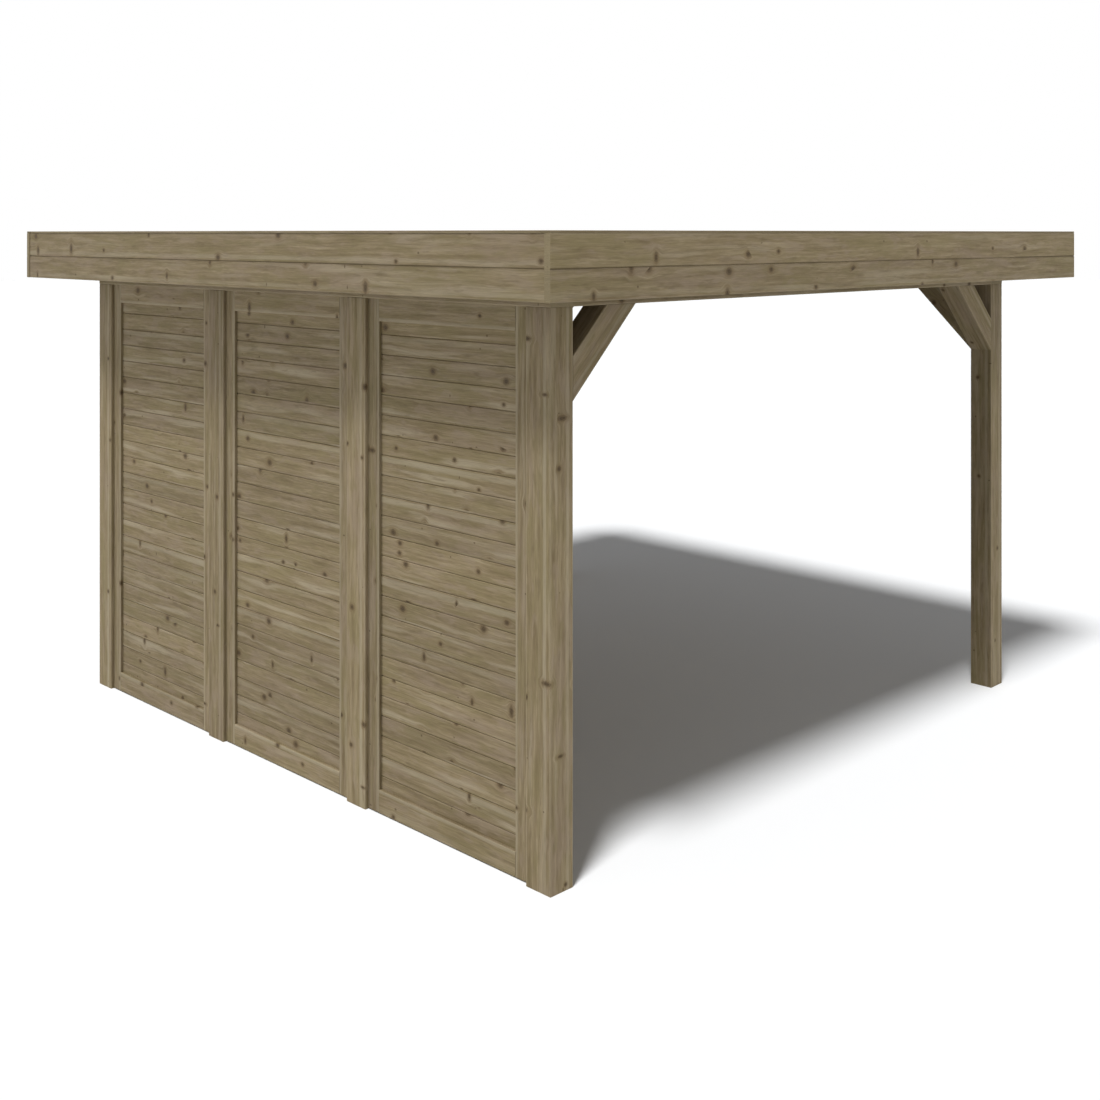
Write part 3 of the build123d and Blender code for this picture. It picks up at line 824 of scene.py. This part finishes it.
# The section is carried round the roof's four corners, mitred: point = corner * (inside - distance).
turns = np.array([(-1.0, -1.0), (1.0, -1.0), (1.0, 1.0), (-1.0, 1.0)])
plan = turns[:, None, :] * (inside - profile[None, :, :1])
level = np.broadcast_to(base + profile[:, 1:], (4, len(profile), 1))
points = np.concatenate([plan, level], 2).reshape(-1, 3)
a, j = np.meshgrid(np.arange(4), np.arange(len(profile)), indexing="ij")
a, b, i = a * len(profile), (a + 1) % 4 * len(profile), (j + 1) % len(profile)
faces = np.stack([a + j, b + j, b + i, a + i], 2).reshape(-1, 4)
strip = bpy.data.meshes.new("roof_upstand")
strip.from_pydata(points.tolist(), [], faces.tolist())
strip.materials.append(rubber)
upstand = bpy.data.objects.new("roof_upstand", strip)
bpy.context.collection.objects.link(upstand)
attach(upstand, "root")


# Floor, light and camera
# A white floor keeps the shadow of a soft sun. The timberwork has lamps of its own: a sun, a key from
# the left, one from the front and three low ones that fill the shade of the eaves. A pale sky lights
# both. The camera stands level at 2.24 m, off the near corner.
FLOOR_REACH = 60.0
# The camera sees the floor nearly white, but the light it throws back is that of a greyer one.
FLOOR_SEEN = (0.975, 0.986, 1.0)
FLOOR_BOUNCE = 0.62
SKY_LOW = 0.42
SKY_HIGH = 0.15
SKY_FALL = 1.5
floor_mesh = bpy.data.meshes.new("floor")
floor_corners = [(x * FLOOR_REACH, y * FLOOR_REACH, 0.0) for x, y in turns.tolist()]
floor_mesh.from_pydata(floor_corners, [], [(0, 1, 2, 3)])
floor = bpy.data.objects.new("floor", floor_mesh)
bpy.context.collection.objects.link(floor)
floor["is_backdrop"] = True
paper = bpy.data.materials.new("floor_paper")
paper.use_nodes = True
tree = paper.node_tree
shader = tree.nodes["Principled BSDF"]
shader.inputs["Roughness"].default_value = 1.0
shader.inputs["Specular IOR Level"].default_value = 0.0
seen = add(tree, "LightPath").outputs["Is Camera Ray"]
tree.links.new(blend_colour(tree, seen, (FLOOR_BOUNCE,) * 3, FLOOR_SEEN), shader.inputs["Base Color"])
floor_mesh.materials.append(paper)

world = bpy.data.worlds.new("studio")
bpy.context.scene.world = world
world.use_nodes = True
tree = world.node_tree
tree.nodes.clear()
# The surround is plain white where it is seen, straight on, in a reflection or through something
# clear. All other light from it is the sky's, which is dimmest overhead.
path = add(tree, "LightPath").outputs
open_to = calc(tree, "MAXIMUM", path["Is Camera Ray"], path["Is Glossy Ray"])
open_to = calc(tree, "MAXIMUM", open_to, path["Is Transmission Ray"])
climb = add(tree, "SeparateXYZ", {0: add(tree, "TexCoord").outputs["Generated"]}).outputs[2]
haze = calc(tree, "POWER", calc(tree, "SUBTRACT", 1.0, climb, clamp=True), SKY_FALL)
glow = calc(tree, "MULTIPLY_ADD", haze, SKY_LOW - SKY_HIGH, SKY_HIGH)
lit = add(tree, "Background", {"Color": (1, 1, 1, 1), "Strength": glow})
white = add(tree, "Background", {"Color": (1, 1, 1, 1), "Strength": 1.0})
mix = add(tree, "MixShader", {0: open_to, 1: lit.outputs[0], 2: white.outputs[0]})
tree.links.new(mix.outputs[0], add(tree, "OutputWorld").inputs[0])

timberwork = bpy.data.collections.new("timberwork")
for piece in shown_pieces():
    timberwork.objects.link(piece)
ground = bpy.data.collections.new("ground")
ground.objects.link(floor)


def soft_lamp(name, strength, spread, height, come_from, shines_on, shaded_by=None):
    """A distant lamp spread degrees wide that shines from height degrees up, from the side
    come_from (x, y), on the collection shines_on. Only the pieces of the collection shaded_by cast
    its shadows, where one is given, and otherwise everything does."""
    data = bpy.data.lights.new(name, "SUN")
    data.energy = strength
    data.angle = math.radians(spread)
    lamp = bpy.data.objects.new(name, data)
    lamp.rotation_euler = (0.0, math.radians(90.0 - height), math.atan2(come_from[1], come_from[0]))
    bpy.context.collection.objects.link(lamp)
    lamp.light_linking.receiver_collection = shines_on
    if shaded_by:
        lamp.light_linking.blocker_collection = shaded_by


SUN_HEIGHT = 63.2
SUN_SIDE = (-0.927, -0.375)
LOW_SPREAD = 20.0
LOW_HEIGHT = 2.0
soft_lamp("floor_sun", 3.00, 11.0, SUN_HEIGHT, SUN_SIDE, ground)
soft_lamp("sun", 0.70, 12.0, SUN_HEIGHT, SUN_SIDE, timberwork)
soft_lamp("left_key", 1.40, 14.0, 61.0, (-0.85, 0.53), timberwork)
soft_lamp("front_key", 0.95, 14.0, 61.5, (0.40, -0.92), timberwork)
for name, strength, side in (("low_left", 0.46, (-0.80, 0.60)), ("low_front", 0.38, (0.30, -0.95)),
                             ("low_eye", 0.15, (-0.72, -0.69))):
    soft_lamp(name, strength, LOW_SPREAD, LOW_HEIGHT, side, timberwork, shaded_by=timberwork)

camera_data = bpy.data.cameras.new("camera")
camera_data.sensor_width = 36.0
camera_data.lens = 45.667
camera_data.shift_x = -0.0033
camera_data.shift_y = -0.2878
camera = bpy.data.objects.new("camera", camera_data)
camera.location = (-4.91397, -4.92033, 2.24099)
camera.rotation_euler = (math.radians(90.0), 0.0, math.radians(-45.077))
bpy.context.collection.objects.link(camera)
bpy.context.scene.camera = camera
bpy.context.scene.view_settings.view_transform = "Standard"
